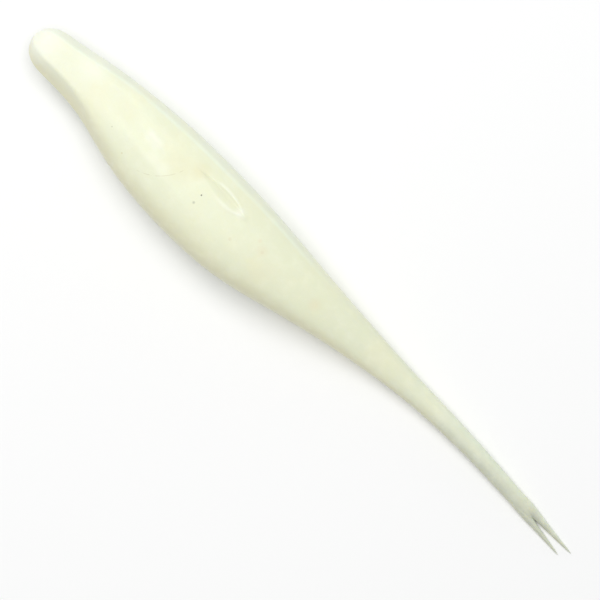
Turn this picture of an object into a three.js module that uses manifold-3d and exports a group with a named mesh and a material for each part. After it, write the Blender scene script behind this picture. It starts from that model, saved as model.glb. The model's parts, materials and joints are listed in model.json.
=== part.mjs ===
// A soft split-tail bait: a plump body with a blunt nose and a hook slot, and a slender tail that ends in two
// pointed prongs. Millimetres, +Z up. It lies on a flat surface at z = 0, nose towards -X and prongs
// towards +X, with the middle of its outline over the origin. Its right side is towards +Y.
//
// The real bait is one moulding of soft plastic that bends all along its tail. Here it is divided at five
// bends, and what lies behind a bend turns about an upright axis through it. Each turning stretch starts in
// a round knuckle that sits in a hollow of the stretch before it, so that the two stay clear of each other.

import * as THREE from "three";
import { mergeVertices } from "three/addons/utils/BufferGeometryUtils.js";
import Module from "manifold-3d";

const wasm = await Module();
wasm.setup();

// Lengths
const bodyLength = 72; // nose to the first bend of the tail
const tailRootLength = 16;
const tailMiddleLength = 15;
const forkBaseLength = 15; // last bend of the tail to the crotch of the fork
const rightProngLength = 9;
const leftProngLength = 7.5;

// Widths and thicknesses of the whole section
const bodyWidth = 16;
const bodyThickness = 12.4;
const tailRootWidth = 8.05; // this and the next four are at the bend where the stretch begins
const tailRootThickness = 7;
const tailMiddleWidth = 4.5;
const tailMiddleThickness = 4;
const forkBaseWidth = 3.25;
const forkBaseThickness = 2.9;
const crotchThickness = 1.5;
const rightProngWidth = 1.42; // at the crotch
const leftProngWidth = 1.16;
const prongGap = 0.08; // between the prongs at the crotch
const prongThickness = 1.2;
const prongTipWidth = 0.22;
const prongTipThickness = 0.35;

// The bow of the middle line, to the right of the line from nose to prongs
const tailRootSide = 0.46;
const tailMiddleSide = 0.9;
const forkBaseSide = 0.52;
const crotchSide = -0.73;
const rightTipSide = -0.78;
const leftTipSide = -2.46;

// Ends
const noseLength = 5.2; // the rounded end of the nose
const crotchLength = 1.2; // the rounded end of the moulding between the prongs
const prongTipLength = 0.8;
const prongRootLength = 9; // how far a prong runs on inside the moulding
const prongRootWidth = 0.5;
const prongRootThickness = 0.9;

// Shape
const sectionPower = 2.2; // 2 is an ellipse, and more is squarer
const nosePower = 3; // the roundness of the ends, in the same way
const settle = 0.05; // share of the half thickness that the surface below presses flat
const noseRise = 2.4; // height of the underside of the nose above the surface
const noseOverhang = 31; // from the nose to where the underside meets the surface

// Hook slot in the upper face
const slotLength = 11.8;
const slotWidth = 1.9;
const slotDepth = 2.8; // its floor, below the highest line of the body
const slotAt = 41.4; // its middle, from the nose
const slotSide = 2.9; // its middle, to the right of the line from nose to prongs
const slotTurn = THREE.MathUtils.degToRad(-3.6);

// Bends
const bendGap = 0.3; // between a knuckle and its hollow
const knuckleMargin = 1.12; // knuckle's width over the width of the moulding there
const prongBendLength = 2.2; // from the crotch to the bend of each prong

// Fineness of the surfaces
const mouldingAround = 36;
const mouldingAlong = 64;
const prongAround = 16;
const prongAlong = 22;
const knuckleSides = 32;

const reach = 400; // larger than the bait, for the blocks that cut it

// Places along the bait, from the nose
const tailMiddleAt = bodyLength + tailRootLength;
const forkBaseAt = tailMiddleAt + tailMiddleLength;
const crotchAt = forkBaseAt + forkBaseLength;

// One place along a solid: how far from the nose, how far its middle is to the right, and its whole width and
// thickness there.
function section(at, side, width, thickness) {
  return { at, side, width, thickness };
}

// A section of the body, where all but the side is a share of the body's own size.
function bodySection(at, side, width, thickness) {
  return section(at * bodyLength, side, width * bodyWidth, thickness * bodyThickness);
}

const crotchWidth = rightProngWidth + prongGap + leftProngWidth;
const nose = section(0, 0, 0, 0);
const tailRoot = section(bodyLength, tailRootSide, tailRootWidth, tailRootThickness);
const tailMiddle = section(tailMiddleAt, tailMiddleSide, tailMiddleWidth, tailMiddleThickness);
const forkBase = section(forkBaseAt, forkBaseSide, forkBaseWidth, forkBaseThickness);
const crotch = section(crotchAt, crotchSide, crotchWidth, crotchThickness);

const mouldingSections = [
  bodySection(0, 0.48, 0.45, 0.44),
  bodySection(0.07, 0.55, 0.51, 0.5),
  bodySection(0.14, 0.88, 0.57, 0.58),
  bodySection(0.22, 0.87, 0.685, 0.71),
  bodySection(0.31, 0.28, 0.84, 0.86),
  bodySection(0.43, -0.29, 0.97, 0.97),
  bodySection(0.57, -0.66, 1, 1),
  bodySection(0.71, -0.65, 0.925, 0.93),
  bodySection(0.855, -0.1, 0.71, 0.77),
  tailRoot,
  tailMiddle,
  forkBase,
  crotch,
];

// A prong's root lies inside the moulding. Its outer edge comes out flush with the moulding's at the crotch,
// and from there it tapers straight to its tip. Outward is 1 on the right and -1 on the left.
function prongSections(length, width, outward, tipSide) {
  const side = crotch.side + (outward * (crotchWidth - width)) / 2;
  const rootSide = (forkBase.side + crotch.side) / 2;
  return [
    section(crotchAt - prongRootLength, rootSide, prongRootWidth, prongRootThickness),
    section(crotchAt, side, width, prongThickness),
    section(
      crotchAt + length / 2,
      (side + tipSide) / 2,
      (width + prongTipWidth) / 2,
      (prongThickness + prongTipThickness) / 2,
    ),
    section(crotchAt + length, tipSide, prongTipWidth, prongTipThickness),
  ];
}

// The bend of a prong, on the straight taper behind the crotch.
function prongBend([, root, middle]) {
  const share = prongBendLength / (middle.at - root.at);
  const between = (key) => THREE.MathUtils.lerp(root[key], middle[key], share);
  return section(between("at"), between("side"), between("width"), between("thickness"));
}

// The smooth curve through values at given places: a natural cubic spline.
function smoothCurve(places, values) {
  const last = places.length - 1;
  const bends = new Array(last + 1).fill(0);
  const carried = new Array(last + 1).fill(0);
  for (let i = 1; i < last; i++) {
    const before = places[i] - places[i - 1];
    const after = places[i + 1] - places[i];
    const turn = (values[i + 1] - values[i]) / after - (values[i] - values[i - 1]) / before;
    const pivot = 2 * (before + after) - before * carried[i - 1];
    carried[i] = after / pivot;
    bends[i] = (6 * turn - before * bends[i - 1]) / pivot;
  }
  for (let i = last - 1; i > 0; i--) bends[i] -= carried[i] * bends[i + 1];
  return (place) => {
    const i = Math.min(last, Math.max(1, places.findIndex((p) => p >= place))) - 1;
    const span = places[i + 1] - places[i];
    const left = (places[i + 1] - place) / span;
    const right = (place - places[i]) / span;
    const swell = (left ** 3 - left) * bends[i] + (right ** 3 - right) * bends[i + 1];
    return left * values[i] + right * values[i + 1] + (swell * span ** 2) / 6;
  };
}

// A three.js geometry as a manifold-3d solid, and back.
function solidOf(geometry) {
  const bare = geometry.clone();
  bare.deleteAttribute("normal");
  bare.deleteAttribute("uv");
  const merged = mergeVertices(bare, 1e-4);
  const mesh = new wasm.Mesh({
    numProp: 3,
    vertProperties: new Float32Array(merged.attributes.position.array),
    triVerts: new Uint32Array(merged.index.array),
  });
  return new wasm.Manifold(mesh);
}

function geometryOf(solid) {
  const mesh = solid.getMesh();
  const geometry = new THREE.BufferGeometry();
  geometry.setAttribute("position", new THREE.BufferAttribute(new Float32Array(mesh.vertProperties), 3));
  geometry.setIndex(new THREE.BufferAttribute(new Uint32Array(mesh.triVerts), 1));
  geometry.computeVertexNormals();
  return geometry;
}

// 0 at the very end of a rounded tip, and 1 from its full length on.
function roundedEnd(distance, tipLength) {
  const left = Math.max(0, 1 - distance / tipLength);
  return Math.sqrt(1 - left ** nosePower);
}

// A point's share of the half width or half thickness, on a section a little squarer than an ellipse.
function squared(share) {
  return Math.sign(share) * Math.abs(share) ** (2 / sectionPower);
}

// Height of the underside above the surface that the bait lies on.
function riseAt(at) {
  return noseRise * (1 - THREE.MathUtils.smoothstep(at, 0, noseOverhang));
}

// A closed solid through the sections, round at both ends: a sphere whose rings are moved onto the sections.
function spindle(sections, startTip, endTip, around, along) {
  const places = sections.map((s) => s.at);
  const curveOf = (key) => smoothCurve(places, sections.map((s) => s[key]));
  const [side, width, thickness] = [curveOf("side"), curveOf("width"), curveOf("thickness")];
  const [start, end] = [places[0], places.at(-1)];
  const sphere = new THREE.SphereGeometry(1, around, along);
  const { position, uv } = sphere.attributes;
  for (let i = 0; i < position.count; i++) {
    const share = (1 - Math.cos(Math.PI * uv.getY(i))) / 2; // the rings crowd towards both ends
    const at = start + (end - start) * share;
    const turn = 2 * Math.PI * uv.getX(i);
    const tips = roundedEnd(at - start, startTip) * roundedEnd(end - at, endTip);
    const halfThickness = thickness(at) / 2;
    const across = (width(at) / 2) * tips * squared(Math.cos(turn));
    const up = halfThickness * (1 - settle + tips * squared(Math.sin(turn)));
    position.setXYZ(i, at, side(at) + across, riseAt(at) + up);
  }
  return solidOf(sphere);
}

function block(fromX, toX, fromZ, toZ) {
  const box = new THREE.BoxGeometry(toX - fromX, reach, toZ - fromZ);
  box.translate((fromX + toX) / 2, 0, (fromZ + toZ) / 2);
  return solidOf(box);
}

// What is left of a solid when the surface below has pressed it flat.
function settled(solid) {
  return solid.subtract(block(-reach, reach, -reach, 0));
}

function uprightDrum(bend, radius) {
  const drum = new THREE.CylinderGeometry(radius, radius, reach, knuckleSides);
  drum.rotateX(Math.PI / 2);
  drum.translate(bend.at, bend.side, 0);
  return solidOf(drum);
}

// What lies before a bend ends in the knuckle's hollow, and what lies behind it begins with the knuckle.
function before(solid, bend) {
  const hollow = uprightDrum(bend, (bend.width / 2) * knuckleMargin + bendGap);
  return solid.subtract(block(bend.at, reach, -reach, reach)).subtract(hollow);
}

function behind(solid, bend) {
  const knuckle = uprightDrum(bend, (bend.width / 2) * knuckleMargin);
  return solid.intersect(block(bend.at, reach, -reach, reach).add(knuckle));
}

// The hook slot is a lens in outline, pointed at both ends.
function hookSlot() {
  const half = slotLength / 2;
  const lens = new THREE.Shape();
  lens.moveTo(-half, 0);
  lens.quadraticCurveTo(0, -slotWidth, half, 0);
  lens.quadraticCurveTo(0, slotWidth, -half, 0);
  const cutter = new THREE.ExtrudeGeometry(lens, { depth: reach, bevelEnabled: false });
  cutter.rotateZ(slotTurn);
  cutter.translate(slotAt, slotSide, bodyThickness - slotDepth);
  return solidOf(cutter);
}

const rightSections = prongSections(rightProngLength, rightProngWidth, 1, rightTipSide);
const leftSections = prongSections(leftProngLength, leftProngWidth, -1, leftTipSide);
const rightBend = prongBend(rightSections);
const leftBend = prongBend(leftSections);

const moulding = settled(
  spindle(mouldingSections, noseLength, crotchLength, mouldingAround, mouldingAlong),
);
const [rightProng, leftProng] = [rightSections, leftSections].map((sections) =>
  settled(spindle(sections, crotchLength, prongTipLength, prongAround, prongAlong)),
);
const forkedEnd = behind(moulding, forkBase).add(rightProng).add(leftProng);

// A named stretch of the bait, in a group that stands on the axis of its bend and turns as the bend does.
function stretch(name, solid, bend, color) {
  const pivot = new THREE.Group();
  const geometry = geometryOf(solid).translate(-bend.at, -bend.side, 0);
  const material = new THREE.MeshStandardMaterial({ color, roughness: 0.32, metalness: 0 });
  const mesh = new THREE.Mesh(geometry, material);
  mesh.name = name;
  pivot.add(mesh);
  return { pivot, bend };
}

// Hangs one stretch on another at its bend.
function join(parent, child) {
  child.pivot.position.set(child.bend.at - parent.bend.at, child.bend.side - parent.bend.side, 0);
  parent.pivot.add(child.pivot);
}

const body = stretch("body", before(moulding, tailRoot).subtract(hookSlot()), nose, 0xf3f6d6);
const root = stretch("tail_root", before(behind(moulding, tailRoot), tailMiddle), tailRoot, 0xe6ebc9);
const middle = stretch("tail_middle", before(behind(moulding, tailMiddle), forkBase), tailMiddle, 0xdbe1c2);
const fork = stretch("fork_base", before(before(forkedEnd, rightBend), leftBend), forkBase, 0xd2d8bc);
const right = stretch("right_prong", behind(rightProng, rightBend), rightBend, 0xcbd1b7);
const left = stretch("left_prong", behind(leftProng, leftBend), leftBend, 0xcbd1b7);
join(body, root);
join(root, middle);
join(middle, fork);
join(fork, right);
join(fork, left);

// The origin is under the middle of the outline.
const bait = new THREE.Group();
bait.add(body.pivot);
bait.updateMatrixWorld(true);
const outlineMiddle = new THREE.Box3().setFromObject(bait).getCenter(new THREE.Vector3());
bait.position.set(-outlineMiddle.x, -outlineMiddle.y, 0);

export default bait;
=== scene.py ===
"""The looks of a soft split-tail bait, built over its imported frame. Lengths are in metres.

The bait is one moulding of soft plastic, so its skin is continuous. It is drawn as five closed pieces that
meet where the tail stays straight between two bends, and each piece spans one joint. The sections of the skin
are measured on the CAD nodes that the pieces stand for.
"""

import json
import math

import bpy
import numpy as np
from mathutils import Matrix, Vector, noise


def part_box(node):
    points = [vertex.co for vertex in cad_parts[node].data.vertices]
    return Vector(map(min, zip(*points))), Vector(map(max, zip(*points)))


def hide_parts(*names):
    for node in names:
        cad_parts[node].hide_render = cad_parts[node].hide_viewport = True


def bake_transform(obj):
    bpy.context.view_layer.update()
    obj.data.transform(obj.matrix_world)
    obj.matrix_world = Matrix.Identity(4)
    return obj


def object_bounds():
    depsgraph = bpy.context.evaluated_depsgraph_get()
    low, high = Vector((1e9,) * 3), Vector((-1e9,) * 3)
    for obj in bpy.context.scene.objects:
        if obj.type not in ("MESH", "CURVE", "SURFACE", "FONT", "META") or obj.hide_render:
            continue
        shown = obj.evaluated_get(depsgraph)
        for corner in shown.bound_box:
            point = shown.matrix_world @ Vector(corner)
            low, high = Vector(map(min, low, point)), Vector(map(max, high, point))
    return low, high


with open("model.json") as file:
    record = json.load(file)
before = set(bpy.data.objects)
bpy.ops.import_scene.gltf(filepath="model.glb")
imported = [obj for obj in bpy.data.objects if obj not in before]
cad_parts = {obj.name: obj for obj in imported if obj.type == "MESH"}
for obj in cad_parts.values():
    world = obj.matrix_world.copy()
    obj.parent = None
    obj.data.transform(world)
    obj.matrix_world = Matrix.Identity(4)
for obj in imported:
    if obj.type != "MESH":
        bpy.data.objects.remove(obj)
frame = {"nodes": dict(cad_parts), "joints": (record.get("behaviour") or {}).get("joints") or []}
cad_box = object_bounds()

MM = 0.001

# Fineness of the skin
AROUND = 144
HALF = AROUND // 2
QUARTER = AROUND // 4
BODY_RINGS = 460
TAIL_RING_STEP = 0.35 * MM
FORK_RINGS = 26
STUB_RING_STEP = 0.09 * MM
PRONG_RINGS = 60

# Section of the skin
BODY_POWER = 2.5  # of the curve between the widest points and the top: 2 is an ellipse, and more is squarer
NOSE_POWER = 3.3
PRONG_POWER = 1.6  # less than 2 is nearer to a diamond
CONTACT_FILLET = 0.16 * MM  # where the underside leaves the surface that it is pressed on
WAVE_HEIGHT = 0.03 * MM  # the slight waviness of cast soft plastic
WAVE_LENGTH = 6 * MM
LINE_HEIGHT = 0.035 * MM  # the mould's line, along the right shoulder and round the widest line on the left
LINE_WIDTH = 0.16 * MM
RIM_WIDTH = 1.3 * MM  # between the line and the widest points
LINE_FADE = 66 * MM, 50 * MM  # from the nose to where the line on the right shoulder is gone, and is whole

# The nose, which is flat on top and has a flank on each side. Places are from the nose
LEFT_SHOULDER = 0.49, 0.78  # share of the half width at which the shoulder runs on the nose, and behind it
RIGHT_SHOULDER = 0.69, 0.82
SHOULDERS_SPREAD = 5 * MM, 21 * MM  # where the shoulders move from the first share to the second
NOSE_POWER_END = 10 * MM, 26 * MM  # where the section of the nose turns into that of the body
FLANKS_FADE = 27 * MM, 13 * MM  # where the flanks are gone, and where they are whole
EDGE_SOFTENS = 8 * MM, 22 * MM  # where the edge between the top and a flank grows soft

# The prongs
PRONG_BEND_LENGTH = 2.2 * MM  # from the crotch to the bend of each prong
FORK_LENGTH = 4.6 * MM  # of the groove before the crotch
STUB_LENGTH = 0.35 * MM  # what the fork's skin holds of each prong
PARTED_LENGTH = 0.5 * MM  # from the crotch to where the prongs are as far apart as they get
TIP_LENGTH = 1.1 * MM  # the rounded end of a prong
TIP_SHARPNESS = 0.55  # width of a prong's end over the width measured there

# Hook slot
SLOT_DEPTH = 0.27 * MM
SLIT_DEPTH = 0.08 * MM
LIP_HEIGHT = 0.16 * MM
SLOT_LOPSIDED = 0.4  # how much wider the slot is towards its tail end


# --------------------------------------------------------------------------------- camera and light

VIEW_WIDTH = 102 * MM
VIEW_CENTRE = Vector((0.18 * MM, -0.6 * MM, 4 * MM))
VIEW_ROLL = math.radians(43.48)  # how far the prongs point below the picture's horizontal
LENS = 500.0
SENSOR = 36.0


def make_camera():
    """Straight down on the upper face, with the nose at the upper left of the picture."""
    data = bpy.data.cameras.new("camera")
    data.lens = LENS
    data.sensor_width = SENSOR
    data.clip_start, data.clip_end = 0.01, 20
    camera = bpy.data.objects.new("camera", data)
    camera.location = VIEW_CENTRE + Vector((0, 0, VIEW_WIDTH * LENS / SENSOR))
    camera.rotation_euler = (0, 0, VIEW_ROLL)
    bpy.context.scene.collection.objects.link(camera)
    bpy.context.scene.camera = camera


make_camera()


def add_area_light(name, place, size, power, colour):
    data = bpy.data.lights.new(name, "AREA")
    data.shape = "DISK"
    data.size = size
    data.energy = power
    data.color = colour
    light = bpy.data.objects.new(name, data)
    light.location = place
    light.rotation_mode = "QUATERNION"
    light.rotation_quaternion = (-Vector(place)).to_track_quat("-Z", "Y")
    bpy.context.scene.collection.objects.link(light)


def make_lights():
    """A broad light above, one beyond the nose for its gloss, and a cool one low on the right."""
    add_area_light("key_light", (-0.12, 0.06, 0.63), 0.7, 2.85, (1.0, 0.995, 0.965))
    add_area_light("nose_light", (-0.50, 0.10, 0.36), 0.18, 0.5, (1.0, 1.0, 1.0))
    add_area_light("side_light", (-0.05, 0.60, 0.14), 0.22, 0.15, (0.86, 1.0, 0.96))
    world = bpy.data.worlds.new("room")
    world.use_nodes = True
    background = world.node_tree.nodes["Background"]
    background.inputs["Color"].default_value = (0.96, 0.97, 1.0, 1)
    background.inputs["Strength"].default_value = 0.45
    bpy.context.scene.world = world
    bpy.context.scene.view_settings.view_transform = "Standard"


make_lights()


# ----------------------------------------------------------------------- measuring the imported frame

def joint_place(name):
    return next(Vector(j["pos_m"]) for j in frame["joints"] if j["name"] == name)


def edges_of(node):
    mesh = frame["nodes"][node].data
    points = np.array([v.co for v in mesh.vertices])
    return points[np.array([e.vertices for e in mesh.edges])]


EDGES = {node: edges_of(node) for node in frame["nodes"]}


def measured_section(node, x):
    """The section of a CAD node at x: middle, half width, height of the widest line, and height above it."""
    a, b = EDGES[node][:, 0], EDGES[node][:, 1]
    cut = (a[:, 0] - x) * (b[:, 0] - x) < 0
    share = (x - a[cut, 0]) / (b[cut, 0] - a[cut, 0])
    outline = a[cut, 1:] + share[:, None] * (b[cut, 1:] - a[cut, 1:])
    right, left = outline[outline[:, 0].argmax()], outline[outline[:, 0].argmin()]
    widest = (right[1] + left[1]) / 2
    return [(right[0] + left[0]) / 2, (right[0] - left[0]) / 2, widest, outline[:, 1].max() - widest]


def smooth_curve(places, values):
    """The natural cubic spline through values at places, straight beyond its ends."""
    places, values = np.array(places), np.array(values)
    span = np.diff(places)
    slope = np.diff(values) / span
    bends = np.eye(len(places))
    turns = np.zeros(len(places))
    for i in range(1, len(places) - 1):
        bends[i, i - 1 : i + 2] = span[i - 1], 2 * (span[i - 1] + span[i]), span[i]
        turns[i] = 6 * (slope[i] - slope[i - 1])
    bend = np.linalg.solve(bends, turns)

    def value(place):
        inside = min(max(place, places[0]), places[-1])
        i = min(max(int(np.searchsorted(places, inside)) - 1, 0), len(span) - 1)
        left, right = (places[i + 1] - inside) / span[i], (inside - places[i]) / span[i]
        swell = ((left**3 - left) * bend[i] + (right**3 - right) * bend[i + 1]) * span[i] ** 2 / 6
        steep = slope[i] + ((1 - 3 * left**2) * bend[i] - (1 - 3 * right**2) * bend[i + 1]) * span[i] / 6
        return left * values[i] + right * values[i + 1] + swell + (place - inside) * steep

    return value


BENDS = [joint_place(f"{name}_bend") for name in ("tail_root", "tail_middle", "fork_base")]
PRONG_BEND = joint_place("right_prong_bend").x
NOSE, TIP = cad_box[0].x, cad_box[1].x
LENGTH = TIP - NOSE
HOLLOW = 0.4 * MM  # a little more than the gap between a knuckle and its hollow

# Where the skins meet, and how near to it light stops passing through the plastic
SEAMS = [(BENDS[0].x + BENDS[1].x) / 2, (BENDS[1].x + BENDS[2].x) / 2]
CROTCH = PRONG_BEND - PRONG_BEND_LENGTH
STUB_END = CROTCH + STUB_LENGTH
SEAM_MARGINS = {SEAMS[0]: 2 * MM, SEAMS[1]: 2 * MM, STUB_END: 0.5 * MM}


def from_nose(x):
    """A measure along the bait in which a rounded nose is as smooth as the rest."""
    return math.sqrt(max(x - NOSE, 0) / LENGTH)


def measure_moulding():
    """Curves through the measured sections, along the whole moulding up to the fork."""
    ends = [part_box(node)[0].x - HOLLOW for node in ("tail_root", "tail_middle", "fork_base")]
    whole = [("body", NOSE + (ends[0] - NOSE) * (i / 16) ** 2) for i in range(1, 17)]
    starts = [bend.x + 0.1 * MM for bend in BENDS]
    stops = [ends[1], ends[2], PRONG_BEND - 3.4 * MM]
    for node, start, stop in zip(("tail_root", "tail_middle", "fork_base"), starts, stops):
        whole += [(node, x) for x in np.linspace(start, stop, 4)]
    rows = [[from_nose(x), *measured_section(node, x)] for node, x in whole]
    body = EDGES["body"].reshape(-1, 3)
    nose = body[body[:, 0].argmin()]
    rows.insert(0, [0, nose[1], 0, nose[2], 0])
    places, *columns = np.array(rows).T
    return [smooth_curve(places, column) for column in columns]


MOULDING = measure_moulding()


def moulding_section(x):
    return [curve(from_nose(x)) for curve in MOULDING]


def measure_prong(node):
    """The same along a prong. Its taper is even, so a gentle curve carries on to the fork."""
    start, stop = joint_place(f"{node}_bend").x + 0.1 * MM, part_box(node)[1].x - TIP_LENGTH
    places = np.linspace(start, stop, 6)
    columns = np.array([measured_section(node, x) for x in places]).T
    return [np.poly1d(np.polyfit(places, column, 2)) for column in columns]


OTHER = {"right_prong": "left_prong", "left_prong": "right_prong"}
PRONGS = {node: measure_prong(node) for node in OTHER}


def prong_section(node, x):
    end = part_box(node)[1].x
    middle, half_width, widest, half_height = [curve(x) for curve in PRONGS[node]]
    left = max(0, 1 - (end - x) / TIP_LENGTH)
    sharp = math.sqrt(max(0, 1 - left**2)) * (1 - (1 - TIP_SHARPNESS) * left)
    return [middle, half_width * sharp, widest, half_height * sharp]


def measure_slot():
    """Both ends of the hook slot and its greatest half width, on the slot's flat floor in the CAD body."""
    mesh = frame["nodes"]["body"].data
    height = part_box("body")[1].z
    floor = [f for f in mesh.polygons if f.normal.z > 0.99999 and height / 2 < f.center.z < 0.95 * height]
    points = np.array([mesh.vertices[v].co for f in floor for v in f.vertices])
    start, end = points[points[:, 0].argmin()], points[points[:, 0].argmax()]
    along = (end - start)[:2] / np.linalg.norm((end - start)[:2])
    across = (points[:, :2] - start[:2]) @ np.array([-along[1], along[0]])
    return Vector(start), Vector(end), float(np.abs(across).max())


SLOT_START, SLOT_END, SLOT_HALF_WIDTH = measure_slot()


# ----------------------------------------------------------------------------- shape of the surface

def smooth(value, low, high):
    """0 at low and 1 at high, with a smooth step between. With low above high it steps down."""
    share = np.clip((value - low) / (high - low), 0, 1)
    return share * share * (3 - 2 * share)


def bell(value, middle, width):
    """1 at middle, and falling smoothly to 0 on both sides of it."""
    return np.exp(-(((value - middle) / width) ** 2))


def section_power(x):
    return NOSE_POWER + (BODY_POWER - NOSE_POWER) * float(smooth(x - NOSE, *NOSE_POWER_END))


def round_section(turns, power):
    """Shares of the half width across and of the half height up, at the given turns from the right side."""
    across, up = np.cos(turns), np.sin(turns)
    shape = 2 / power
    return np.sign(across) * np.abs(across) ** shape, np.sign(up) * np.abs(up) ** shape


def slot_coordinates(x, y):
    """Place along the slot, from -1 to 1 between its ends, and across it, from -1 to 1 between its edges."""
    middle = (SLOT_START + SLOT_END) / 2
    half = (SLOT_END - SLOT_START).to_2d() / 2
    along = ((x - middle.x) * half.x + (y - middle.y) * half.y) / half.length_squared
    off = ((y - middle.y) * half.x - (x - middle.x) * half.y) / half.length
    lens = np.maximum((1 - along**2) * (1 + SLOT_LOPSIDED * along), 0.05)
    return along, off / (SLOT_HALF_WIDTH * lens)


def slot_relief(x, y):
    """The hook slot: a steep wall under a crisp right lip, and a gentle rise to a soft left lip."""
    along, across = slot_coordinates(x, y)
    ends = np.clip(1 - along**2, 0, 1) * (1 + SLOT_LOPSIDED * along)
    wall = smooth(across, 1.0, 0.2) * smooth(across, -1.15, 0.3)
    slit = smooth(np.abs(across - 0.4), 0.3, 0.0) * smooth(along, 0.2, -0.7)
    right_lip = bell(across, 1.1, 0.3) * smooth(along, -0.5, 0.1)
    left_lip = bell(across, -1.2, 0.6) * smooth(along, -0.4, 0.4)
    lips = LIP_HEIGHT * (right_lip + 0.7 * left_lip) * ends**0.5
    return lips - ends * (SLOT_DEPTH * wall + SLIT_DEPTH * slit)


def mound(x, y, place, size, turn, height):
    """A smooth rise, or a hollow where height is less than 0. Place is from the nose and to the right."""
    right, ahead = y - place[1] * MM, x - NOSE - place[0] * MM
    cos, sin = math.cos(math.radians(turn)), math.sin(math.radians(turn))
    along, across = (ahead * cos + right * sin) / (size[0] * MM), (right * cos - ahead * sin) / (size[1] * MM)
    return height * MM * np.exp(-(along**2) - across**2)


# What the upper face has besides the slot: place from the nose and to the right, size and height in mm, and
# turn in degrees
RELIEF = {
    "hollow_before_slot": dict(place=(33.8, 3.0), size=(5.0, 2.2), turn=6, height=-0.22),
    "hollow_behind_nose": dict(place=(20.0, 2.8), size=(4.2, 2.0), turn=-8, height=-0.42),
    "crease": dict(place=(28.0, 1.35), size=(4.2, 0.24), turn=-6, height=-0.1),
    "crease_bank": dict(place=(27.0, 2.55), size=(1.9, 0.75), turn=-4, height=0.17),
    "left_ridge": dict(place=(27.5, -0.5), size=(8.5, 1.3), turn=-7, height=0.2),
    "nose_bump": dict(place=(16.4, 4.3), size=(0.9, 0.5), turn=10, height=0.09),
    "slot_end": dict(place=(46.6, 3.0), size=(1.1, 0.6), turn=-14, height=0.22),
}


def relief(x, y):
    return slot_relief(x, y) + sum(mound(x, y, **rise) for rise in RELIEF.values())


def waviness(points):
    return np.array([noise.noise(Vector(p) / WAVE_LENGTH) for p in points])


def shoulder_share(x, shoulder):
    """Share of the half width at which a shoulder runs at x."""
    near_nose, behind = shoulder
    return near_nose + (behind - near_nose) * float(smooth(x - NOSE, *SHOULDERS_SPREAD))


def row_turns(x):
    """The angles of the skin's rows at x. They crowd along the hook slot, the line and the widest points."""
    at = min(max(x, SLOT_START.x), SLOT_END.x)
    slot_y = SLOT_START.y + (SLOT_END.y - SLOT_START.y) * (at - SLOT_START.x) / (SLOT_END.x - SLOT_START.x)
    middle, half_width, _, _ = moulding_section(at)
    slot_turn = math.acos(((slot_y - middle) / half_width) ** (section_power(at) / 2))
    line_turn = math.acos(shoulder_share(x, RIGHT_SHOULDER) ** (section_power(x) / 2))
    near = float(smooth(x, SLOT_END.x + 22 * MM, SLOT_END.x + 2 * MM))
    fine = np.linspace(0, 2 * math.pi, 1441)
    density = 1 + 3.2 * near * bell(fine, slot_turn, 0.2)
    density += 3.2 * near * bell(fine, line_turn, 0.08)
    for widest_turn in (0, math.pi, 2 * math.pi):
        density += 2 * bell(fine, widest_turn, 0.06)
    length = np.concatenate([[0], np.cumsum((density[1:] + density[:-1]) / 2)])
    return np.interp(np.arange(AROUND) * length[-1] / AROUND, length, fine)


def soft_min(a, b, softness):
    return (a + b - np.sqrt((a - b) ** 2 + softness**2)) / 2


def flanked(x, across, up):
    """Shares up near the nose, where a flank runs from each shoulder down to the widest point."""
    power = section_power(x)
    fade = float(smooth(x - NOSE, *FLANKS_FADE))
    softness = 0.05 + 0.2 * float(smooth(x - NOSE, *EDGE_SOFTENS))
    for side, shoulder, strength in (-1, LEFT_SHOULDER, 1.0), (1, RIGHT_SHOULDER, 0.6):
        share = shoulder_share(x, shoulder)
        top = (1 - share**power) ** (1 / power)
        flank = top * (1 - side * across) / (1 - share)
        up = np.where(up > 0, up + (soft_min(up, flank, softness) - up) * fade * strength, up)
    return np.where(up > 0, np.maximum(up, 0), up)


def finished(x, section, across, up):
    """A ring at x, from its shares across and up, with all the small shapes of the surface.

    Each point has x, y, z and its share across. Then come 1 in the depth of the hook slot, 0 outside it and
    less than 0 on its lips, and how far it is outside the line on the right shoulder, 1 being the width of
    the rim.
    """
    middle, half_width, widest, half_height = section
    y, z = middle + half_width * across, widest + half_height * up
    points = np.stack([np.full(len(y), x), y, z], 1)
    normal = np.stack([across / max(half_width, 1e-6), up / max(half_height, 1e-6)], 1)
    normal /= np.maximum(np.linalg.norm(normal, axis=1), 1e-9)[:, None]
    fade = min(1, half_width / (2.5 * MM)) * min(1, (x - NOSE) / (1.5 * MM))
    line_fade = fade * float(smooth(x - NOSE, *LINE_FADE))
    on_left = bell(z, widest, LINE_WIDTH) * (across < 0) * fade
    line_y = middle + half_width * shoulder_share(x, RIGHT_SHOULDER)
    on_right = bell(y, line_y, LINE_WIDTH) * (up > 0) * line_fade
    swell = WAVE_HEIGHT * (waviness(points) - 1) * fade + LINE_HEIGHT * (on_left + on_right)
    y = y + normal[:, 0] * swell
    z = z + normal[:, 1] * swell + np.where(up > 0, relief(points[:, 0], points[:, 1]), 0)
    z = (z + np.sqrt(z * z + CONTACT_FILLET**2)) / 2
    hollow = np.where(up > 0, -slot_relief(points[:, 0], points[:, 1]) / SLOT_DEPTH, 0)
    beyond_line = np.where(up > 0, points[:, 1] - line_y, points[:, 1] * 0 + RIM_WIDTH)
    return np.stack([points[:, 0], y, z, across, np.clip(hollow, -1, 1), beyond_line / RIM_WIDTH], 1)


def moulding_ring(x):
    across, up = round_section(row_turns(x), section_power(x))
    return finished(x, moulding_section(x), across, flanked(x, across, up))


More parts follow.
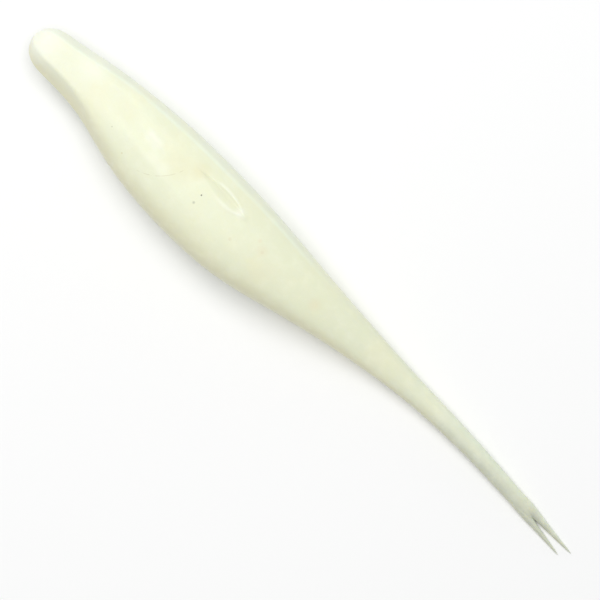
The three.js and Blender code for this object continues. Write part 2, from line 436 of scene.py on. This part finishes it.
def prong_ring(node, x):
    """A prong's ring. Up to the crotch it touches the other prong's, and past it the two draw apart."""
    section, other = prong_section(node, x), prong_section(OTHER[node], x)
    inward = 1 if section[0] < other[0] else -1
    edge, other_edge = section[0] + inward * section[1], other[0] - inward * other[1]
    shared = (edge + other_edge) / 2
    outer = section[0] - inward * section[1]
    inner = shared + (edge - shared) * float(smooth(x, CROTCH, CROTCH + PARTED_LENGTH))
    across, up = round_section(np.arange(HALF) * 2 * math.pi / HALF, PRONG_POWER)
    return finished(x, [(outer + inner) / 2, abs(outer - inner) / 2, *section[2:]], across, up)


def crotch_point(right, left):
    """The one point that the rings of both prongs share before the crotch."""
    return (right[QUARTER] + left[0]) / 2


def fork_ring(x):
    """A ring of the moulding just before the crotch, where it is drawn in between the prongs to come."""
    right, left = prong_ring("right_prong", x), prong_ring("left_prong", x)
    waist = [crotch_point(right, left)]
    lobes = np.concatenate([right[:QUARTER], waist, left[1:], waist, right[QUARTER + 1 :]])
    place = 1 - (CROTCH - x) / FORK_LENGTH
    deep = 1 - math.sqrt(max(0, 1 - place**3))
    waisted = smooth(np.abs(np.sin(np.arange(AROUND) * 2 * math.pi / AROUND)), 0.75, 1)
    share = float(smooth(place, 0, 1)) * (1 - waisted) + deep * waisted
    plain = moulding_ring(x)
    return plain + (lobes - plain) * share[:, None]


# ------------------------------------------------------------------------------------ making meshes

def store(mesh, name, values):
    """Keeps a number or a vector for each vertex, for the material to read."""
    values = np.asarray(values, np.float32)
    kind, field = ("FLOAT", "value") if values.ndim == 1 else ("FLOAT_VECTOR", "vector")
    mesh.attributes.new(name, kind, "POINT").data.foreach_set(field, values.ravel())


class Skin:
    """A closed skin under construction, from rings of points as finished() makes them."""

    def __init__(self):
        self.points = []
        self.faces = []

    def add_ring(self, points):
        self.points += [tuple(p) for p in points]
        return list(range(len(self.points) - len(points), len(self.points)))

    def join(self, ring, following):
        count = len(ring)
        for i in range(count):
            j = (i + 1) % count
            self.faces.append((ring[i], ring[j], following[j], following[i]))

    def add_tube(self, rings, first=None):
        """Joins rings one after the other, from an earlier ring if first is given, and returns both ends."""
        ends = [self.add_ring(ring) for ring in rings]
        if first:
            ends.insert(0, first)
        for ring, following in zip(ends, ends[1:]):
            self.join(ring, following)
        return ends[0], ends[-1]

    def cap(self, ring, outwards):
        """A flat end. outwards is 1 at the far end and -1 at the near end."""
        self.faces.append(tuple(ring[::outwards]))

    def close(self, ring, tip, outwards):
        """A rounded end, closed by one last point."""
        (end,) = self.add_ring([tip])
        for point, following in zip(ring, ring[1:] + ring[:1]):
            self.faces.append((point, following, end)[::outwards])

    def make(self, name):
        mesh = bpy.data.meshes.new(name)
        points = np.array(self.points)
        mesh.from_pydata(points[:, :3].tolist(), [], self.faces)
        mesh.shade_smooth()
        caps = {tuple(sorted(key)) for f in mesh.polygons if len(f.vertices) > 4 for key in f.edge_keys}
        for edge in mesh.edges:
            edge.use_edge_sharp = tuple(sorted(edge.vertices)) in caps
        from_seam = [np.abs(points[:, 0] - seam) / margin for seam, margin in SEAM_MARGINS.items()]
        store(mesh, "rest", points[:, :3] / MM)
        store(mesh, "across", points[:, 3])
        store(mesh, "hollow", points[:, 4])
        store(mesh, "rim", points[:, 5])
        store(mesh, "inner_light", smooth(np.min(from_seam, 0), 0, 1))
        mesh.materials.append(plastic)
        piece = bpy.data.objects.new(name, mesh)
        bpy.context.scene.collection.objects.link(piece)
        return piece


# ---------------------------------------------------------------------------------------- materials

# Colours from the nose, at 0, to the tips of the prongs, at 1, darkened towards the tips by painted shade
ALONG_COLOURS_AND_SHADE = {
    0: (0.85, 0.865, 0.70),
    0.2: (0.825, 0.85, 0.655),
    0.5: (0.815, 0.84, 0.635),
    0.7: (0.75, 0.78, 0.605),
    0.8: (0.70, 0.73, 0.575),
    0.88: (0.64, 0.665, 0.535),
    0.93: (0.595, 0.615, 0.50),
    0.985: (0.58, 0.60, 0.49),
}

# Colours mixed into those: painted shade on the left side, on the tail's left, beyond the line and at the
# slot's bottom, painted light on the tail's right, on the line and on the slot's lips, and the plastic's own
# clouds
LEFT_SIDE_SHADE = (0.72, 0.69, 0.46)
TAIL_LEFT_SHADE = (0.50, 0.53, 0.46)
TAIL_RIGHT_LIGHT = (0.78, 0.86, 0.72)
BEYOND_LINE_SHADE = (0.76, 0.81, 0.70)
LINE_HIGHLIGHT = (0.84, 0.93, 0.81)
LARGE_CLOUD = (0.87, 0.83, 0.56)
MIDDLING_CLOUD = (0.93, 0.95, 0.79)
FINE_CLOUD = (0.80, 0.80, 0.53)
SLOT_BOTTOM_SHADE = (0.76, 0.75, 0.48)
SLOT_LIP_HIGHLIGHT = (0.92, 0.94, 0.80)

# Colours of the stains, the specks and the hairline, and of the painted shade in the hollows of the upper
# face and the painted highlights on its rises and on the nose
HOLLOW_SHADE = (0.76, 0.72, 0.46)
RUST = (0.55, 0.40, 0.14)
PINK = (0.82, 0.72, 0.50)
SOOT = (0.06, 0.06, 0.05)
PAINTED_HIGHLIGHT = (0.92, 0.94, 0.82)
HAIR = (0.42, 0.34, 0.14)

# Stains and specks on the upper face, and patches of painted shade and painted highlight: place from the nose
# and to the right, radii of the core and the halo, colour and strength. Lengths are in mm
STAINS_SHADE_AND_HIGHLIGHTS = [
    (39.4, 0.78, 0.05, 0.19, SOOT, 0.9),
    (39.3, -1.0, 0.04, 0.36, SOOT, 0.32),
    (20.4, -1.2, 0.04, 0.16, SOOT, 0.3),
    (24.7, -3.3, 0.04, 0.18, RUST, 0.4),
    (53.5, 0.85, 0.1, 0.45, RUST, 0.13),
    (53.3, 1.0, 0.3, 1.5, PINK, 0.22),
    (48.0, -1.3, 0.1, 0.45, RUST, 0.13),
    (51.9, 2.0, 0.1, 0.6, PINK, 0.3),
    (66.0, 0.5, 0.3, 1.6, PINK, 0.25),
    (36.6, 3.7, 0.4, 2.4, HOLLOW_SHADE, 0.4),
    (33.6, 2.0, 0.8, 4.2, HOLLOW_SHADE, 0.3),
    (20.5, 2.3, 0.6, 3.2, HOLLOW_SHADE, 0.14),
    (46.3, 3.1, 0.1, 1.5, PAINTED_HIGHLIGHT, 0.6),
    (26.4, 2.2, 0.3, 1.7, PAINTED_HIGHLIGHT, 0.5),
    (28.0, 2.0, 0.3, 1.7, PAINTED_HIGHLIGHT, 0.45),
    (29.0, -0.3, 0.3, 2.0, PAINTED_HIGHLIGHT, 0.25),
    (31.6, -0.6, 0.3, 2.0, PAINTED_HIGHLIGHT, 0.25),
    (1.5, 1.2, 0.8, 5.0, PAINTED_HIGHLIGHT, 0.6),
    (11.0, 4.0, 0.6, 4.0, PAINTED_HIGHLIGHT, 0.35),
    (56.0, -2.4, 1.0, 5.0, PINK, 0.06),
]

PLASTIC_IOR = 1.45
GLOSS = 0.36
ROUGHNESS = 0.28, 0.36  # least and most
BUMP_STRENGTH = 0.35
BUMP_HEIGHT = 0.03 * MM
SUBSURFACE = 0.3  # share of the light that passes into the plastic
SUBSURFACE_RADIUS = (1.0, 0.9, 0.55)  # of red, green and blue, in shares of the scale
SUBSURFACE_SCALE = 1.2 * MM

HAIRLINE_CENTRE = (26.2, 4.6)  # of the circle that the hairline follows, in mm from the nose and to the right
HAIRLINE_RADIUS = 8.6
HAIRLINE_MIDDLE = (32.2, -1.6)
HAIRLINE_REACH = 4.4, 3.9  # from its middle to where it is gone, and to where it is whole


def add_node(tree, kind, *inputs, output=0, **settings):
    """Adds a node. Each input is a socket or a value, and None leaves it as it is. Gives back one output."""
    node = tree.nodes.new(kind)
    for name, value in settings.items():
        setattr(node, name, value)
    for socket, value in zip(node.inputs, inputs):
        if isinstance(value, bpy.types.NodeSocket):
            tree.links.new(value, socket)
        elif value is not None:
            socket.default_value = value
    return node.outputs[output]


def calculate(tree, operation, *inputs):
    return add_node(tree, "ShaderNodeMath", *inputs, operation=operation)


def stepped(tree, value, low, high, amount=1.0):
    """A smooth step from 0 at low to amount at high."""
    return add_node(
        tree, "ShaderNodeMapRange", value, low, high, 0.0, amount, interpolation_type="SMOOTHSTEP"
    )


def tinted(tree, colour, tint, amount, blend="MIX"):
    """Colour with some of tint mixed in, or multiplied by it."""
    inputs = [None] * 8
    inputs[0], inputs[6], inputs[7] = amount, colour, (*tint, 1)
    return add_node(tree, "ShaderNodeMix", *inputs, output=2, data_type="RGBA", blend_type=blend)


def clouds(tree, place, size, detail=2.0, roughness=0.5):
    """Noise from 0 to 1, with clouds of the given size in mm."""
    return add_node(
        tree, "ShaderNodeTexNoise", place, None, 1 / size, detail, roughness, noise_dimensions="3D"
    )


def distance_to(tree, place, x, y):
    """Distance in mm on the plan view from the upright line at x from the nose and y to the right."""
    flat = add_node(tree, "ShaderNodeVectorMath", place, (1, 1, 0), operation="MULTIPLY")
    return add_node(tree, "ShaderNodeVectorMath", flat, (x + NOSE / MM, y, 0), operation="DISTANCE", output=1)


def hairline(tree, place):
    """A brown hair pressed into the surface, along part of a circle, broken here and there."""
    off = calculate(tree, "SUBTRACT", distance_to(tree, place, *HAIRLINE_CENTRE), HAIRLINE_RADIUS)
    line = stepped(tree, calculate(tree, "ABSOLUTE", off), 0.075, 0.02)
    near = stepped(tree, distance_to(tree, place, *HAIRLINE_MIDDLE), *HAIRLINE_REACH)
    broken = stepped(tree, clouds(tree, place, 0.9, 1.0), 0.36, 0.56, 0.28)
    return calculate(tree, "MULTIPLY", calculate(tree, "MULTIPLY", line, near), broken)


def make_plastic():
    """Cast soft plastic: cream, cloudy and satin, with stains, specks and a hairline, and with painted shade
    and painted highlights in its colour.
    """
    material = bpy.data.materials.new("soft_plastic")
    material.use_nodes = True
    tree = material.node_tree
    shader = tree.nodes["Principled BSDF"]
    place = add_node(tree, "ShaderNodeAttribute", attribute_name="rest", output=1)
    across = add_node(tree, "ShaderNodeAttribute", attribute_name="across", output=2)
    hollow = add_node(tree, "ShaderNodeAttribute", attribute_name="hollow", output=2)
    x = add_node(tree, "ShaderNodeSeparateXYZ", place)
    is_upper = stepped(tree, add_node(tree, "ShaderNodeSeparateXYZ", place, output=2), 1.5, 3.5)

    # The plastic is thinner towards the tips of the tail. Its colour there is greener, and darker and greyer
    # as painted shade for the light that falls off along the tail
    along = stepped(tree, x, NOSE / MM, TIP / MM)
    along.node.interpolation_type = "LINEAR"
    colour = add_node(tree, "ShaderNodeValToRGB", along)
    ramp = colour.node.color_ramp
    for at, shade in ALONG_COLOURS_AND_SHADE.items():
        stop = ramp.elements[0] if at == 0 else ramp.elements.new(at)
        stop.color = (*shade, 1)
    ramp.elements.remove(ramp.elements[len(ramp.elements) - 1])

    # Painted shade: the left side, away from the light, is darker all along. The thin tail has painted shade,
    # greyer, on its left, and painted light, paler and greener, on its right
    colour = tinted(tree, colour, LEFT_SIDE_SHADE, stepped(tree, across, -0.5, -1.0, 0.66))
    tail = stepped(tree, x, 12.0, 46.0)
    tail_left_shade = calculate(tree, "MULTIPLY", stepped(tree, across, 0.15, -0.6, 0.55), tail)
    colour = tinted(tree, colour, TAIL_LEFT_SHADE, tail_left_shade)
    tail_right_light = calculate(tree, "MULTIPLY", stepped(tree, across, 0.1, 0.8, 0.5), tail)
    colour = tinted(tree, colour, TAIL_RIGHT_LIGHT, tail_right_light)

    # Painted highlight: the line on the right shoulder is paler. Painted shade: what is beyond it is darker
    # and greener
    rim = add_node(tree, "ShaderNodeAttribute", attribute_name="rim", output=2)
    fading = stepped(tree, x, 6.0, -12.0)
    beyond = calculate(tree, "MULTIPLY", stepped(tree, rim, 0.0, 0.3, 0.5), fading)
    colour = tinted(tree, colour, BEYOND_LINE_SHADE, beyond)
    line_highlight = stepped(tree, calculate(tree, "ABSOLUTE", rim), 0.36, 0.0, 0.45)
    colour = tinted(tree, colour, LINE_HIGHLIGHT, calculate(tree, "MULTIPLY", line_highlight, fading))

    # Clouds in the plastic, from large to fine
    large = clouds(tree, place, 9.0, 3.0)
    colour = tinted(tree, colour, LARGE_CLOUD, stepped(tree, large, 0.45, 0.75, 0.3))
    middling = clouds(tree, place, 2.2, 3.0, 0.6)
    colour = tinted(tree, colour, MIDDLING_CLOUD, stepped(tree, middling, 0.4, 0.8, 0.25))
    fine = clouds(tree, place, 0.45, 2.0, 0.7)
    colour = tinted(tree, colour, FINE_CLOUD, stepped(tree, fine, 0.5, 0.8, 0.22))

    # Painted shade at the bottom of the hook slot, and a painted highlight on its lips
    colour = tinted(tree, colour, SLOT_BOTTOM_SHADE, stepped(tree, hollow, 0.05, 0.95, 0.18))
    colour = tinted(tree, colour, SLOT_LIP_HIGHLIGHT, stepped(tree, hollow, -0.08, -0.5, 0.5))

    # Stains, specks, patches of painted shade and painted highlight, and the hairline
    for spot_x, spot_y, core, halo, shade, strength in STAINS_SHADE_AND_HIGHLIGHTS:
        amount = stepped(tree, distance_to(tree, place, spot_x, spot_y), halo, core, strength)
        colour = tinted(tree, colour, shade, calculate(tree, "MULTIPLY", amount, is_upper))
    upper_hairline = calculate(tree, "MULTIPLY", hairline(tree, place), is_upper)
    colour = tinted(tree, colour, HAIR, upper_hairline)
    tree.links.new(colour, shader.inputs["Base Color"])

    # Gloss, dimples and the light that passes into the plastic
    roughness = add_node(tree, "ShaderNodeMapRange", middling, 0.3, 0.7, *ROUGHNESS)
    tree.links.new(roughness, shader.inputs["Roughness"])
    dimples = calculate(tree, "ADD", clouds(tree, place, 0.9, 3.0), calculate(tree, "MULTIPLY", fine, 0.35))
    bump = add_node(tree, "ShaderNodeBump", BUMP_STRENGTH, BUMP_HEIGHT, None, dimples)
    tree.links.new(bump, shader.inputs["Normal"])
    inner_light = add_node(tree, "ShaderNodeAttribute", attribute_name="inner_light", output=2)
    tree.links.new(calculate(tree, "MULTIPLY", inner_light, SUBSURFACE), shader.inputs["Subsurface Weight"])
    shader.inputs["Subsurface Radius"].default_value = SUBSURFACE_RADIUS
    shader.inputs["Subsurface Scale"].default_value = SUBSURFACE_SCALE
    shader.inputs["IOR"].default_value = PLASTIC_IOR
    shader.inputs["Specular IOR Level"].default_value = GLOSS
    return material


def make_floor():
    bpy.ops.mesh.primitive_plane_add(size=6, location=(0, 0, 0))
    floor = bpy.context.object
    floor.name = "floor"
    material = bpy.data.materials.new("floor")
    material.use_nodes = True
    shader = material.node_tree.nodes["Principled BSDF"]
    shader.inputs["Base Color"].default_value = (0.95, 0.95, 0.95, 1)
    shader.inputs["Roughness"].default_value = 0.9
    shader.inputs["Specular IOR Level"].default_value = 0.1
    floor.data.materials.append(material)


make_floor()
plastic = make_plastic()


# ------------------------------------------------------------------------------- building the skins

def even_places(start, end, step):
    return np.linspace(start, end, round((end - start) / step) + 1)


def make_body():
    reach = from_nose(SEAMS[0])
    places = [NOSE + LENGTH * (reach * i / BODY_RINGS) ** 2 for i in range(1, BODY_RINGS + 1)]
    middle, _, widest, _ = moulding_section(NOSE)
    skin = Skin()
    first, last = skin.add_tube([moulding_ring(x) for x in places])
    skin.close(first, (NOSE, middle, widest, 0, 0, 0), -1)
    skin.cap(last, 1)
    piece = skin.make("body_skin")
    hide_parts("body")
    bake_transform(piece)


def make_tail_root():
    skin = Skin()
    first, last = skin.add_tube([moulding_ring(x) for x in even_places(SEAMS[0], SEAMS[1], TAIL_RING_STEP)])
    skin.cap(first, -1)
    skin.cap(last, 1)
    piece = skin.make("tail_root_skin")
    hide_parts("tail_root")
    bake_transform(piece)


def make_fork():
    """The end of the tail, up to short stubs of both prongs."""
    skin = Skin()
    start = CROTCH - FORK_LENGTH
    rings = [moulding_ring(x) for x in even_places(SEAMS[1], start, TAIL_RING_STEP)]
    rings += [fork_ring(CROTCH - FORK_LENGTH * (1 - i / FORK_RINGS) ** 2) for i in range(1, FORK_RINGS)]
    first, last = skin.add_tube(rings)
    skin.cap(first, -1)

    # At the crotch the waist is one point, and each prong has its own ring from there on
    crotch = skin.add_ring(np.delete(fork_ring(CROTCH), 3 * QUARTER, 0))
    right = crotch[: QUARTER + 1] + crotch[3 * QUARTER :]
    left = crotch[QUARTER : 3 * QUARTER]
    skin.join(last, right[: QUARTER + 1] + left[1:] + [right[QUARTER]] + right[QUARTER + 1 :])
    for node, ring in ("right_prong", right), ("left_prong", left):
        places = even_places(CROTCH, STUB_END, STUB_RING_STEP)[1:]
        _, end = skin.add_tube([prong_ring(node, x) for x in places], ring)
        skin.cap(end, 1)
    piece = skin.make("fork_skin")
    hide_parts("tail_middle", "fork_base")
    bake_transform(piece)


def make_prong(node):
    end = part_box(node)[1].x
    places = [STUB_END + (end - STUB_END) * (1 - (1 - i / PRONG_RINGS) ** 1.5) for i in range(PRONG_RINGS)]
    middle, _, widest, _ = prong_section(node, end)
    skin = Skin()
    first, last = skin.add_tube([prong_ring(node, x) for x in places])
    skin.cap(first, -1)
    skin.close(last, (end, middle, widest, 0, 0, 1), 1)
    piece = skin.make(f"{node}_skin")
    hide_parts(node)
    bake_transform(piece)


make_body()
make_tail_root()
make_fork()
for node in PRONGS:
    make_prong(node)
